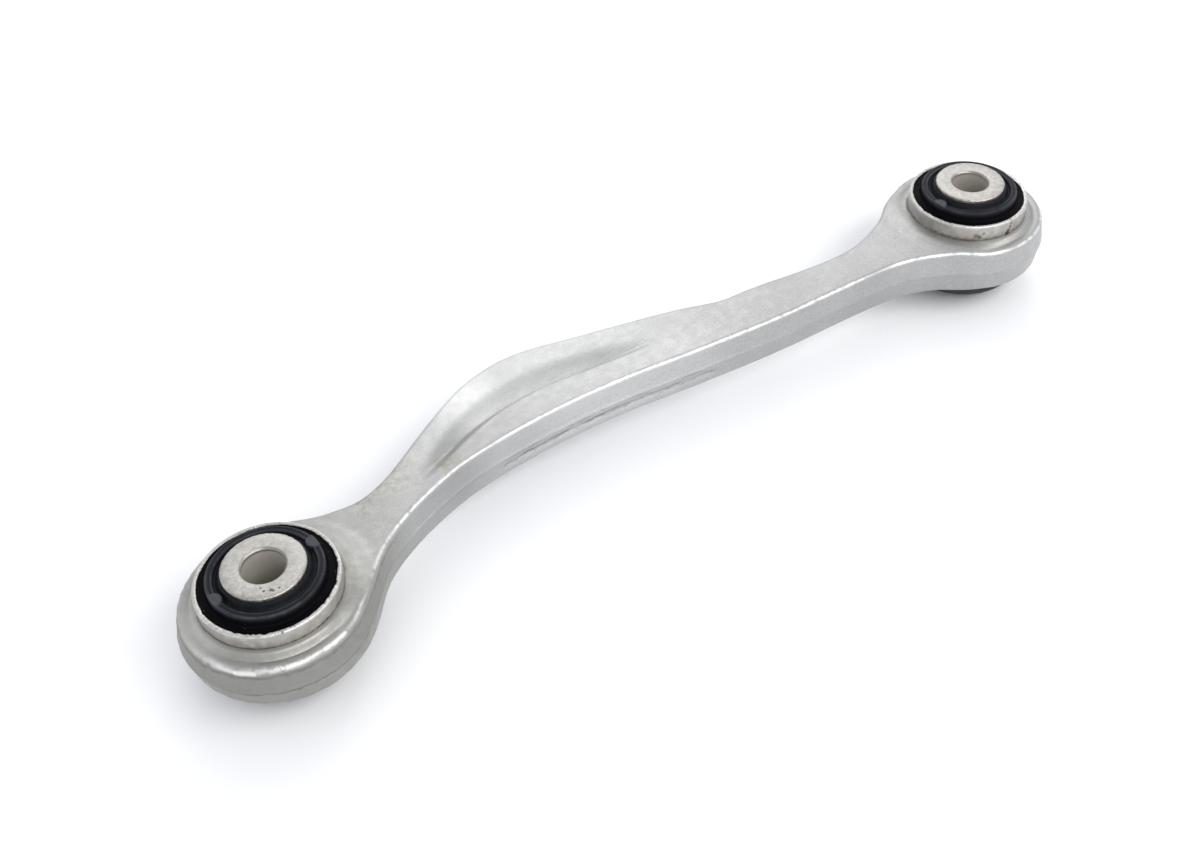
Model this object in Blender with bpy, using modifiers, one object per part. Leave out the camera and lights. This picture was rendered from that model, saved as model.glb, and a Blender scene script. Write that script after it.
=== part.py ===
"""Two-point suspension control arm: a forged arm with a bonded rubber bush pressed into each eye.

Metres, +Z up. The bush axes are vertical, and the arm lies on the lower ends of its inner sleeves.
The origin is under the middle of the whole arm's box, on that surface, and +X runs from eye to eye.
"""

import math

import bmesh
import bpy
from mathutils import Vector

# Driving dimensions
EYE_SPACING = 0.280
SEGMENTS = 48
FIT_GAP = 0.0003

# Bush. Heights are from its mid-plane.
BOLT_BORE_RADIUS = 0.0061
INNER_SLEEVE_RADIUS = 0.012
INNER_SLEEVE_LENGTH = 0.040
OUTER_SLEEVE_RADIUS = 0.0206
OUTER_SLEEVE_WALL = 0.0013
OUTER_SLEEVE_LENGTH = 0.030
EDGE_CHAMFER = 0.0006
LIP_TOP = 0.0190
VALLEY_RADIUS = 0.0142
VALLEY_TOP = 0.0170
BEAD_RADIUS = 0.0156
BEAD_HALF_WIDTH = 0.0007
BEAD_TOP = 0.0177
BEAD_BASE_RADIUS = 0.0169
RECESS_TOP = 0.0146

# Forging. Heights are from the parting plane, which is the arm's mid-plane.
EYE_RADIUS = 0.028
EYE_CREASE_RADIUS = 0.0265
EYE_HALF_HEIGHT = 0.0095
HALF_THICKNESS = 0.0081
SIDE_DRAFT = 0.0008
EDGE_ROUNDING = 0.0009
POCKET_DEPTH = 0.003
POCKET_WALL = 0.0012
STATION_STEP = 0.005
LOFT_START = 0.010

# Plan outline of the shank's top edges, measured from the inboard eye's centre: (x, y)
FRONT_EDGE = [
    (0.010, -0.0245), (0.0165, -0.0208), (0.0236, -0.0140), (0.0317, -0.0062), (0.041, -0.0009),
    (0.055, 0.0045), (0.072, 0.0084), (0.100, 0.0095), (0.128, 0.0073), (0.157, 0.0024),
    (0.188, -0.0022), (0.222, -0.0052), (0.239, -0.0074), (0.249, -0.0108), (0.259, -0.0170),
    (0.270, -0.0245),
]
BACK_EDGE = [
    (0.010, 0.0245), (0.0165, 0.0217), (0.0222, 0.0188), (0.028, 0.0171), (0.0355, 0.0157),
    (0.0412, 0.0166), (0.0503, 0.0201), (0.066, 0.0286), (0.082, 0.0364), (0.092, 0.0395),
    (0.105, 0.0408), (0.115, 0.0392), (0.125, 0.0361), (0.152, 0.0280), (0.166, 0.0234),
    (0.179, 0.0180), (0.187, 0.0170), (0.195, 0.0158), (0.211, 0.0125), (0.227, 0.0104),
    (0.2383, 0.0113), (0.253, 0.0160), (0.2615, 0.0213), (0.270, 0.0245),
]
# How far the parting line stands out from the top edges along the shank: (x, draft)
EYE_DRAFT = EYE_RADIUS - EYE_CREASE_RADIUS
DRAFT_RUN = [(0.027, EYE_DRAFT), (0.038, SIDE_DRAFT), (0.240, SIDE_DRAFT), (0.252, EYE_DRAFT)]
# The pocket's depth along the shank, as a share of POCKET_DEPTH: (x, share)
POCKET_RUN = [(0.060, 0.0), (0.068, 1.0), (0.130, 1.0), (0.172, 0.0)]
# The pocket's front and back edges, as shares of the shank's width counted from the front
POCKET_FRONT = [(0.050, 0.15), (0.062, 0.19), (0.077, 0.30), (0.090, 0.355), (0.135, 0.365), (0.172, 0.45)]
POCKET_BACK = 0.68

# Where things are
BACK_PEAK = max(y for x, y in BACK_EDGE) + SIDE_DRAFT
EYE_Y = -(BACK_PEAK - EYE_RADIUS) / 2
MID_PLANE = INNER_SLEEVE_LENGTH / 2
EYES = {
    "inboard": Vector((-EYE_SPACING / 2, EYE_Y, MID_PLANE)),
    "outboard": Vector((EYE_SPACING / 2, EYE_Y, MID_PLANE)),
}


def clear_scene():
    for obj in list(bpy.data.objects):
        bpy.data.objects.remove(obj, do_unlink=True)


def new_collection(name):
    collection = bpy.data.collections.new(name)
    bpy.context.scene.collection.children.link(collection)
    return collection


def make_material(name, colour, roughness, metallic):
    material = bpy.data.materials.new(name)
    material.use_nodes = True
    shader = material.node_tree.nodes["Principled BSDF"]
    shader.inputs["Base Color"].default_value = (*colour, 1.0)
    shader.inputs["Roughness"].default_value = roughness
    shader.inputs["Metallic"].default_value = metallic
    return material


def smooth_curve(points, x):
    """Height at x of a smooth curve through the points, each span a cubic with Catmull-Rom slopes."""
    last = len(points) - 1
    span = next((i for i in range(last) if x <= points[i + 1][0]), last - 1)

    def slope(i):
        before, after = points[max(i - 1, 0)], points[min(i + 1, last)]
        return (after[1] - before[1]) / (after[0] - before[0])

    (x0, y0), (x1, y1) = points[span], points[span + 1]
    width = x1 - x0
    t = min(max((x - x0) / width, 0.0), 1.0)
    start = (2 * t**3 - 3 * t**2 + 1) * y0 + (t**3 - 2 * t**2 + t) * width * slope(span)
    end = (3 * t**2 - 2 * t**3) * y1 + (t**3 - t**2) * width * slope(span + 1)
    return start + end


def eased(points, x):
    """Height at x of a run of plateaus: level at each point, with an S-curve from one to the next."""
    for (x0, y0), (x1, y1) in zip(points, points[1:]):
        if x <= x1:
            t = max((x - x0) / (x1 - x0), 0.0)
            return y0 + (y1 - y0) * t * t * (3 - 2 * t)
    return points[-1][1]


def turned(name, profile, collection, closed):
    """A solid turned about Z. The profile is (radius, height), and runs top to bottom on its outer side."""
    mesh = bpy.data.meshes.new(name)
    vertices = [(radius, 0.0, height) for radius, height in profile]
    edges = [(i, i + 1) for i in range(len(profile) - 1)]
    if closed:
        edges.append((len(profile) - 1, 0))
    mesh.from_pydata(vertices, edges, [])
    obj = bpy.data.objects.new(name, mesh)
    collection.objects.link(obj)
    screw = obj.modifiers.new("Turn", "SCREW")
    screw.axis = "Z"
    screw.steps = SEGMENTS
    screw.render_steps = SEGMENTS
    screw.use_merge_vertices = True
    screw.merge_threshold = 0.00001
    return obj


def apply_modifiers(obj):
    """Turn the object's evaluated shape into its mesh, and drop its modifiers."""
    depsgraph = bpy.context.evaluated_depsgraph_get()
    mesh = bpy.data.meshes.new_from_object(obj.evaluated_get(depsgraph))
    obj.modifiers.clear()
    obj.data = mesh


def shade_round(obj, angle=30.0):
    obj.data.shade_smooth()
    obj.data.set_sharp_from_angle(angle=math.radians(angle))


def boolean(obj, other, operation):
    modifier = obj.modifiers.new(operation.title(), "BOOLEAN")
    modifier.operation = operation
    modifier.solver = "EXACT"
    modifier.object = other
    other.hide_render = True
    other.display_type = "WIRE"


def mirrored_profile(upper):
    """A profile's upper half with its copy below the mid-plane."""
    return upper + [(radius, -height) for radius, height in reversed(upper) if height]


def shank_section(x):
    """The shank's section at x, seen along X, as (y, z): round the top from back to front, then the underside."""
    front = smooth_curve(FRONT_EDGE, x)
    back = smooth_curve(BACK_EDGE, x)
    width = back - front
    pocket_front = front + width * smooth_curve(POCKET_FRONT, x)
    pocket_back = front + width * POCKET_BACK
    floor = HALF_THICKNESS - POCKET_DEPTH * eased(POCKET_RUN, x)
    draft = eased(DRAFT_RUN, x)
    top = [
        (back, HALF_THICKNESS - EDGE_ROUNDING),
        (back - EDGE_ROUNDING, HALF_THICKNESS),
        (pocket_back, HALF_THICKNESS),
        (pocket_front + POCKET_WALL, floor),
        (pocket_front, HALF_THICKNESS),
        (front + EDGE_ROUNDING, HALF_THICKNESS),
        (front, HALF_THICKNESS - EDGE_ROUNDING),
    ]
    underside = [(y, -z) for y, z in reversed(top)]
    return [(back + draft, 0.0)] + top + [(front - draft, 0.0)] + underside


def make_shank(collection):
    """Loft the shank through its sections, from inside one eye to inside the other."""
    count = round((EYE_SPACING - 2 * LOFT_START) / STATION_STEP)
    origin = EYES["inboard"]
    shape = bmesh.new()
    rings = []
    for i in range(count + 1):
        x = LOFT_START + i * STATION_STEP
        section = shank_section(x)
        rings.append([shape.verts.new((origin.x + x, origin.y + y, origin.z + z)) for y, z in section])
    size = len(rings[0])
    for near, far in zip(rings, rings[1:]):
        for i in range(size):
            j = (i + 1) % size
            shape.faces.new((near[i], near[j], far[j], far[i]))
    shape.faces.new(rings[0])
    shape.faces.new(rings[-1])
    bmesh.ops.recalc_face_normals(shape, faces=shape.faces)
    bmesh.ops.triangulate(shape, faces=[f for f in shape.faces if len(f.verts) > 4])
    mesh = bpy.data.meshes.new("arm_forging")
    shape.to_mesh(mesh)
    shape.free()
    obj = bpy.data.objects.new("arm_forging", mesh)
    collection.objects.link(obj)
    return obj


def make_forging(collection, cutters, material):
    arm = make_shank(collection)
    eye_profile = [
        (0.0, EYE_HALF_HEIGHT),
        (OUTER_SLEEVE_RADIUS + FIT_GAP, EYE_HALF_HEIGHT),
        (EYE_CREASE_RADIUS, HALF_THICKNESS),
        (EYE_RADIUS, 0.0),
    ]
    bore_profile = [
        (0.0, EYE_HALF_HEIGHT * 2),
        (OUTER_SLEEVE_RADIUS + FIT_GAP, EYE_HALF_HEIGHT * 2),
    ]
    for name, centre in EYES.items():
        eye = turned(name + "_eye", mirrored_profile(eye_profile), cutters, closed=False)
        eye.location = centre
        boolean(arm, eye, "UNION")
    for name, centre in EYES.items():
        bore = turned(name + "_eye_bore", mirrored_profile(bore_profile), cutters, closed=False)
        bore.location = centre
        boolean(arm, bore, "DIFFERENCE")
    arm.data.materials.append(material)
    return arm


def make_inner_sleeve(name, collection, material):
    half = INNER_SLEEVE_LENGTH / 2
    wall_outside = [
        (INNER_SLEEVE_RADIUS - EDGE_CHAMFER, half),
        (INNER_SLEEVE_RADIUS, half - EDGE_CHAMFER),
    ]
    wall_inside = [
        (BOLT_BORE_RADIUS, -half + EDGE_CHAMFER),
        (BOLT_BORE_RADIUS, half - EDGE_CHAMFER),
    ]
    profile = mirrored_profile(wall_outside)
    profile.append((BOLT_BORE_RADIUS + EDGE_CHAMFER, -half))
    profile += wall_inside
    profile.append((BOLT_BORE_RADIUS + EDGE_CHAMFER, half))
    return finish_bush_piece(turned(name, profile, collection, closed=True), material)


def make_rubber(name, collection, material):
    inner = INNER_SLEEVE_RADIUS + FIT_GAP
    outer = OUTER_SLEEVE_RADIUS - OUTER_SLEEVE_WALL - FIT_GAP
    upper = [
        (inner, LIP_TOP),
        (VALLEY_RADIUS, VALLEY_TOP),
        (BEAD_RADIUS - BEAD_HALF_WIDTH, BEAD_TOP),
        (BEAD_RADIUS + BEAD_HALF_WIDTH, BEAD_TOP),
        (BEAD_BASE_RADIUS, RECESS_TOP),
        (outer, RECESS_TOP),
    ]
    return finish_bush_piece(turned(name, mirrored_profile(upper), collection, closed=True), material)


def make_outer_sleeve(name, collection, material):
    half = OUTER_SLEEVE_LENGTH / 2
    inner = OUTER_SLEEVE_RADIUS - OUTER_SLEEVE_WALL
    upper = [
        (inner, half),
        (OUTER_SLEEVE_RADIUS - EDGE_CHAMFER, half),
        (OUTER_SLEEVE_RADIUS, half - EDGE_CHAMFER),
    ]
    return finish_bush_piece(turned(name, mirrored_profile(upper), collection, closed=True), material)


def finish_bush_piece(obj, material):
    apply_modifiers(obj)
    shade_round(obj)
    obj.data.materials.append(material)
    return obj


def make_bush(end, centre, collection):
    """One bush. Its empty stands on the bush's axis, at the middle, where the inner sleeve twists and tilts."""
    pivot = bpy.data.objects.new(end + "_bush", None)
    pivot.empty_display_size = INNER_SLEEVE_RADIUS
    pivot.location = centre
    collection.objects.link(pivot)
    makers = {
        "outer_sleeve": (make_outer_sleeve, (0.60, 0.60, 0.59), 0.45, 1.0),
        "rubber": (make_rubber, (0.018, 0.019, 0.022), 0.65, 0.0),
        "inner_sleeve": (make_inner_sleeve, (0.74, 0.73, 0.71), 0.35, 1.0),
    }
    for part, (maker, colour, roughness, metallic) in makers.items():
        name = end + "_" + part
        piece = maker(name, collection, make_material(name, colour, roughness, metallic))
        piece.parent = pivot


def main():
    clear_scene()
    collection = new_collection("control_arm")
    cutters = new_collection("cutters")
    aluminium = make_material("arm_forging", (0.66, 0.66, 0.66), 0.5, 1.0)
    arm = make_forging(collection, cutters, aluminium)
    for end, centre in EYES.items():
        make_bush(end, centre, collection)
    bpy.context.view_layer.update()
    apply_modifiers(arm)
    shade_round(arm)
    bpy.context.view_layer.update()


main()
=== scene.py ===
"""Visual model of a two-point suspension control arm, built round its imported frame.

Metres, +Z up. Plan positions on the forging are measured from the inboard eye's centre, and heights on
the forging and the bushes from the arm's mid-plane. The forging's underside is its top mirrored, and a
bush's lower end is its upper one mirrored without the gate nubs and the pit. Names that end in RUN
hold (x in mm, value) pairs along the arm, for eased().
"""

import math

import bmesh
import bpy
import numpy as np
from mathutils import Matrix, Vector, noise
from mathutils.geometry import delaunay_2d_cdt


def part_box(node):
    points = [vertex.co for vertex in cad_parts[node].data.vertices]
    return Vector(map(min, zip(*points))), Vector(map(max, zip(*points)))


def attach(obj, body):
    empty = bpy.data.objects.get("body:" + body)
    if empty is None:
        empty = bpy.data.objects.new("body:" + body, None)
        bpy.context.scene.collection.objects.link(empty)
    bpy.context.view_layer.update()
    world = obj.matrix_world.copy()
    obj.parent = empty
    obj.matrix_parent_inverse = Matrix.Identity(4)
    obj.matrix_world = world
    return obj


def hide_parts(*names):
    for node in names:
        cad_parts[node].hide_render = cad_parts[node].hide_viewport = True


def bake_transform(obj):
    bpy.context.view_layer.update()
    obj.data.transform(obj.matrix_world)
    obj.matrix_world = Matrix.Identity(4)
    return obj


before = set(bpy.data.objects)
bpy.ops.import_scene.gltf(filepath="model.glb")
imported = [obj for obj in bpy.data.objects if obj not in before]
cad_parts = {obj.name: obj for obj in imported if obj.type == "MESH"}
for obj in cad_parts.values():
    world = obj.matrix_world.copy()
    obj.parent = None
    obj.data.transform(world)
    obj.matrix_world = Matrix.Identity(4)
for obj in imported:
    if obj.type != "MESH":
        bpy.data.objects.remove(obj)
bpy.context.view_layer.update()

MM = 0.001
ENDS = ("inboard", "outboard")

# Places and sizes read from the frame
SLEEVE_BOX = {end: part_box(end + "_inner_sleeve") for end in ENDS}
CENTRE = {end: (low + high) / 2 for end, (low, high) in SLEEVE_BOX.items()}
EYE_SPACING = CENTRE["outboard"].x - CENTRE["inboard"].x
INNER_RADIUS = (SLEEVE_BOX["inboard"][1].x - SLEEVE_BOX["inboard"][0].x) / 2
INNER_HALF = SLEEVE_BOX["inboard"][1].z - CENTRE["inboard"].z
RING_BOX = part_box("inboard_outer_sleeve")
RING_RADIUS = (RING_BOX[1].x - RING_BOX[0].x) / 2
RING_HALF = RING_BOX[1].z - CENTRE["inboard"].z
EYE_HALF_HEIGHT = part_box("arm_forging")[1].z - CENTRE["inboard"].z

# Forging: eyes, edges and thickness
EYE_PLACES = (0.0, EYE_SPACING)
EYE_RADIUS = 28.0 * MM
CREASE_RADIUS = 27.0 * MM
BORE_RADIUS = RING_RADIUS + 0.01 * MM
BORE_CHAMFER = 0.08 * MM
HALF_THICKNESS = 8.1 * MM
EYE_DRAFT = EYE_RADIUS - CREASE_RADIUS
SIDE_DRAFT = 0.8 * MM
EYE_ROUNDING = 1.7 * MM
SHANK_ROUNDING = 1.75 * MM
DRAFT_RUN = [(27, EYE_DRAFT), (38, SIDE_DRAFT), (240, SIDE_DRAFT), (252, EYE_DRAFT)]
ROUNDING_RUN = [
    (-24, 3.2 * MM), (6, 2.3 * MM), (24, EYE_ROUNDING), (40, SHANK_ROUNDING), (240, SHANK_ROUNDING),
    (256, EYE_ROUNDING),
]
FRONT_EDGE = [
    (6, -26.33), (10, -25.08), (14, -23.09), (17.5, -20.6), (23.6, -14.7), (31.7, -6.6), (41, -0.9),
    (55, 4.5), (72, 8.4), (100, 9.5), (128, 7.3), (157, 2.4), (188, -2.2), (222, -5.2), (239, -7.4),
    (249, -10.9), (257, -15.6), (262, -20.1), (266, -23.1), (270, -25.08), (274, -26.33),
]
BACK_EDGE = [
    (6, 26.33), (10, 25.08), (16.5, 22.0), (22.2, 19.0), (28, 17.1), (35.5, 15.7), (41.2, 16.6),
    (50.3, 20.1), (66, 28.6), (82, 36.4), (92, 39.5), (105, 40.8), (115, 39.2), (125, 36.1),
    (152, 28.0), (166, 23.4), (179, 18.0), (187, 17.0), (195, 15.8), (211, 12.5), (227, 10.4),
    (238.3, 11.3), (253, 16.3), (261.5, 21.9), (270, 25.08), (274, 26.33),
]

# Raised pads round the bores, the inboard one first
PAD_TOPS = (EYE_HALF_HEIGHT + 0.5 * MM, EYE_HALF_HEIGHT - 0.1 * MM)
PAD_EDGE = 21.6 * MM
PAD_FOOT = 23.6 * MM
PAD_NECK_REACH = 7.0 * MM
PAD_GROOVE = 0.18 * MM
PAD_GROOVE_REACH = 1.3 * MM

# Pocket. Its front wall and rear ridge lie at shares of the arm's width from the front edge
POCKET_DEPTH = 3.0 * MM
POCKET_FRONT = [(45, 0.10), (62, 0.175), (77, 0.285), (90, 0.34), (135, 0.35), (172, 0.44)]
POCKET_BACK = 0.68
POCKET_RUN = [(45, 0.0), (86, 1.0), (116, 1.0), (155, 0.0)]
WALL_RUN = [(45, 4.6 * MM), (72, 4.4 * MM), (98, 2.9 * MM), (155, 2.8 * MM)]
RIDGE_SOFTNESS = 0.26
SLOPE_POWER = 1.4
SLOPE_LIMIT = 1.05
SHELF_RUN = [(45, 0.0), (62, 1.0), (84, 0.45), (116, 0.45), (155, 0.0)]
SHELF_FADE = (0.3 * MM, 0.8 * MM)

# Relief, abrasion and painted highlights. The waves are on both faces, and the rest is on the sides. The
# groove from the trimming runs along the front side, below the parting line. The abrasion on the rounded
# edges and the flash is also painted highlight, lightest at the angles where the light catches them
FLASH_HEIGHT = 0.12 * MM
FLASH_HALF_WIDTH = 0.45 * MM
FLASH_RISE = 0.3 * MM
FLASH_RUN = [(30, 0.15), (60, 1.0), (150, 1.0), (200, 0.0)]
TRIM_DEPTH = 0.7 * MM
TRIM_LEVEL = -3.4 * MM
TRIM_REACH = 1.7 * MM
TRIM_RUN = [(82.5, 0.0), (85.5, 1.0), (155, 1.0), (166, 0.0)]
TRIM_UNEVENNESS = 0.6
DENT_RUN = [(15, 0.30 * MM), (40, 0.10 * MM), (230, 0.06 * MM), (260, 0.16 * MM)]
DENT_SIZE = 4 * MM
WAVE_HEIGHT = 0.05 * MM
WAVE_SIZE = 9 * MM
EDGE_ANGLES = (0, 12, 24, 36, 48, 60, 72, 84)
EDGE_WEAR_AND_HIGHLIGHT = (0.0, 0.0, 0.4, 0.9, 0.7, 0.2, 0.0, 0.0)
FLASH_WEAR_AND_HIGHLIGHT = 0.2
UNDERSIDE_WEAR_AND_HIGHLIGHT = 0.3

# Spacing of the forging's points
OUTLINE_SPACING = 1.0 * MM
EYE_ARC_POINTS = 400
SIDE_ROWS = np.linspace(0.06, 1, 10)
BORE_POINTS = 180
EYE_GRID_RADII = np.arange(21.7, 28.0, 0.45) * MM
EYE_GRID_POINTS = 220
EYE_GRID_REACH = 28.2 * MM
SHANK_GRID_PLACES = np.arange(18.0, 262.5, 0.8) * MM
RIM_CLEARANCE = 0.45 * MM

# Rubber's half profile, in mm: (radius, height, length cut from each leg of the corner)
RUBBER_UPPER = [
    (12.08, 0.0, 0), (13.0, 14.9, 0.5), (12.75, 16.0, 0.3), (12.04, 17.1, 0.1), (12.04, 18.95, 0.15),
    (12.55, 18.6, 0.2), (13.15, 17.3, 0.4), (13.6, 16.85, 0.2), (14.05, 16.85, 0.2), (14.35, 17.6, 0.2),
    (14.7, 17.82, 0.2), (15.4, 17.58, 0.3), (16.1, 17.82, 0.2), (16.5, 17.5, 0.2), (16.85, 15.3, 0.3),
    (17.15, 14.65, 0.3), (18.7, 14.6, 0.2), (19.27, 14.8, 0.1), (19.28, 14.1, 0.1), (19.28, 0.0, 0),
]
RUBBER_SHOWN = 14 * MM
RUBBER_POINTS = 240
BEAD_PLACE = 15.4 * MM
NUB_RADIUS = 2.4 * MM
NUB_PLACE = 15.6 * MM
NUB_TOP = 18.25 * MM
NUB_LIMIT = 16.75 * MM
NUB_ANGLES = {"inboard": (math.radians(3.5), math.radians(182.3)), "outboard": (math.radians(182.3),)}
NUB_EDGE = 0.3 * MM
PIT_PLACE = 16.1 * MM
PIT_RADIUS = 0.45 * MM
PIT_DEPTH = 0.5 * MM
PIT_ANGLE = {"inboard": math.radians(-40), "outboard": math.radians(-102)}

# Outer sleeves, whose ends are cut rough and whose wall has a butt joint
RING_BORE = 19.3 * MM
RING_POINTS = 420
SEAM_WIDTH = 0.2 * MM
SEAM_ANGLE = {"inboard": math.radians(72), "outboard": math.radians(-92)}
BURR_DEPTH = 0.2 * MM
BURR_DROP = 0.22 * MM
RING_DENT = 0.03 * MM

# Inner sleeves, with nicks in their rims
BOLT_BORE = 6.1 * MM
INNER_POINTS = 300
NICK_DEPTH = 0.26 * MM

# Camera, aimed at a point on the mid-plane
CAMERA_TARGET = Vector((-24.45, -4.8, 20.0)) * MM
CAMERA_DISTANCE = 0.440
CAMERA_AZIMUTH = math.radians(-34.985)
CAMERA_ELEVATION = math.radians(44.172)
CAMERA_ROLL = math.radians(-3.195)
CAMERA_LENS = 41.68
CAMERA_CLIP = 0.01

# Light: softboxes as (name, place, size, power), and sky colours by height over the horizon, 0 to 1
SOFTBOXES = [
    ("softbox_back", (0.59, 0.81, 1.0), (1.0, 0.85), 4.4),
    ("softbox_front", (0.15, -0.80, 0.92), (1.5, 0.55), 9.2),
]
SOFTBOX_COLOUR = (1.0, 0.99, 0.97)
SKY_STRENGTH = 1.24
SKY = [
    (0.0, (0.80, 0.82, 0.87)), (0.6, (0.72, 0.73, 0.75)), (0.82, (0.56, 0.57, 0.59)),
    (0.93, (0.40, 0.41, 0.42)),
]
FLOOR_HALF = 4.0


# ---------------------------------------------------------------- curves and meshes

SHARP_ANGLE = math.radians(40)


def smooth_curve(points, x):
    """Height at x of a smooth curve through the points, each span a cubic with Catmull-Rom slopes."""
    last = len(points) - 1
    span = next((i for i in range(last) if x <= points[i + 1][0]), last - 1)

    def slope(i):
        before, after = points[max(i - 1, 0)], points[min(i + 1, last)]
        return (after[1] - before[1]) / (after[0] - before[0])

    (x0, y0), (x1, y1) = points[span], points[span + 1]
    width = x1 - x0
    t = min(max((x - x0) / width, 0.0), 1.0)
    start = (2 * t**3 - 3 * t**2 + 1) * y0 + (t**3 - 2 * t**2 + t) * width * slope(span)
    end = (3 * t**2 - 2 * t**3) * y1 + (t**3 - t**2) * width * slope(span + 1)
    return start + end


def step(t):
    """0 below 0, 1 above 1, and an S-curve between."""
    t = np.clip(t, 0.0, 1.0)
    return t * t * (3 - 2 * t)


def eased(points, x):
    """A run's value at x in metres: level at each of its points, with an S-curve from one to the next."""
    x = np.asarray(x) / MM
    value = np.full(x.shape, float(points[0][1]))
    for (x0, y0), (x1, y1) in zip(points, points[1:]):
        value += (y1 - y0) * step((x - x0) / (x1 - x0))
    return value


def softened(values, reach):
    """The values with a Gaussian of that many samples run over them, keeping both ends in place."""
    span = np.arange(-3 * reach, 3 * reach + 1)
    weights = np.exp(-0.5 * (span / reach) ** 2)
    padded = np.pad(values, 3 * reach, mode="reflect", reflect_type="odd")
    return np.convolve(padded, weights / weights.sum(), mode="valid")


def rounded(corners, steps=6):
    """A closed profile with rounded corners. A corner is (radius, height, length cut from each leg)."""
    points = []
    for i, (radius, height, cut) in enumerate(corners):
        here = np.array((radius, height))
        if not cut:
            points.append(here)
            continue
        before = np.array(corners[i - 1][:2]) - here
        after = np.array(corners[(i + 1) % len(corners)][:2]) - here
        start = here + before / np.linalg.norm(before) * cut
        end = here + after / np.linalg.norm(after) * cut
        for t in np.linspace(0, 1, steps):
            points.append((1 - t) ** 2 * start + 2 * t * (1 - t) * here + t * t * end)
    return points


def dense(points, longest, shown=0.0):
    """A closed profile with long sides split, apart from those that reach nearer the middle than shown."""
    result = []
    for here, after in zip(points, points[1:] + points[:1]):
        hidden = min(abs(here[1]), abs(after[1])) < shown
        count = 1 if hidden else max(1, math.ceil(np.linalg.norm(after - here) / longest))
        result += [here + (after - here) * i / count for i in range(count)]
    return np.array(result)


def around(count, marks=(), reach=0.14, gap=0.008):
    """Angles round a circle, closer together near the marks."""
    angles = [np.linspace(0, 2 * math.pi, count, endpoint=False)]
    angles += [np.arange(mark - reach, mark + reach, gap) for mark in marks]
    angles = np.unique(np.round(np.concatenate(angles) % (2 * math.pi), 6))
    return angles[np.diff(angles, append=angles[0] + 2 * math.pi) > gap / 4]


def noise_at(x, y, z, size):
    """Smooth noise from about -1 to 1 at each point, with features of that size."""
    points = np.stack(np.broadcast_arrays(x, y, z), axis=-1) / size
    flat = [noise.noise(Vector(p)) for p in points.reshape(-1, 3)]
    return np.array(flat).reshape(points.shape[:-1])


def add_object(name, mesh, material):
    obj = bpy.data.objects.new(name, mesh)
    bpy.context.scene.collection.objects.link(obj)
    mesh.materials.append(material)
    return obj


def make_mesh(name, vertices, faces):
    mesh = bpy.data.meshes.new(name)
    mesh.from_pydata(vertices, [], faces)
    shape = bmesh.new()
    shape.from_mesh(mesh)
    bmesh.ops.recalc_face_normals(shape, faces=shape.faces)
    shape.to_mesh(mesh)
    shape.free()
    smooth_mesh(mesh)
    return mesh


def smooth_mesh(mesh):
    mesh.shade_smooth()
    mesh.set_sharp_from_angle(angle=SHARP_ANGLE)


def store_mask(mesh, name, values):
    """Keep a number for each of the mesh's first points, and 0 for the rest, for the material to read."""
    missing = len(mesh.vertices) - len(values)
    masked = np.append(values, np.zeros(missing)).astype(np.float32)
    mesh.attributes.new(name, "FLOAT", "POINT").data.foreach_set("value", masked)


def turned(name, profile, centre, angles, wobble):
    """The mesh of a ring turned about the centre's axis. wobble(radius, height, angle) moves its points."""
    count, segments = len(profile), len(angles)
    angle = np.repeat(angles[None, :], count, axis=0)
    radius = np.repeat(profile[:, :1], segments, axis=1)
    height = np.repeat(profile[:, 1:], segments, axis=1)
    radius, height = wobble(radius, height, angle)
    x = centre.x + radius * np.cos(angle)
    y = centre.y + radius * np.sin(angle)
    vertices = np.stack((x, y, centre.z + height), axis=-1).reshape(-1, 3)
    faces = []
    for i in range(count):
        for j in range(segments):
            k, m = (i + 1) % count, (j + 1) % segments
            faces.append((i * segments + j, i * segments + m, k * segments + m, k * segments + j))
    return make_mesh(name, vertices.tolist(), faces)


def cut(obj, blade):
    """Take the blade's mesh out of the object with an exact boolean."""
    helper = bpy.data.objects.new("blade", blade)
    bpy.context.scene.collection.objects.link(helper)
    modifier = obj.modifiers.new("Boolean", "BOOLEAN")
    modifier.operation = "DIFFERENCE"
    modifier.solver = "EXACT"
    modifier.object = helper
    depsgraph = bpy.context.evaluated_depsgraph_get()
    obj.data = bpy.data.meshes.new_from_object(obj.evaluated_get(depsgraph))
    obj.modifiers.clear()
    bpy.data.objects.remove(helper, do_unlink=True)
    smooth_mesh(obj.data)


# ---------------------------------------------------------------- forging

# The front and back edges in plan, and the pocket's front wall, at every half millimetre along the arm
STATIONS = np.arange(10.0, 270.25, 0.5) * MM
FRONT = softened(np.array([smooth_curve(FRONT_EDGE, x / MM) for x in STATIONS]) * MM, 4)
BACK = softened(np.array([smooth_curve(BACK_EDGE, x / MM) for x in STATIONS]) * MM, 4)
POCKET_SHARE = np.array([smooth_curve(POCKET_FRONT, x / MM) for x in STATIONS])


def plan_lines(x):
    """Y of the front edge, the pocket's front wall, its foot, its rear ridge and the back edge at x."""
    front, back = np.interp(x, STATIONS, FRONT), np.interp(x, STATIONS, BACK)
    wall = front + (back - front) * np.interp(x, STATIONS, POCKET_SHARE)
    return front, wall, wall + eased(WALL_RUN, x), front + (back - front) * POCKET_BACK, back


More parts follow.
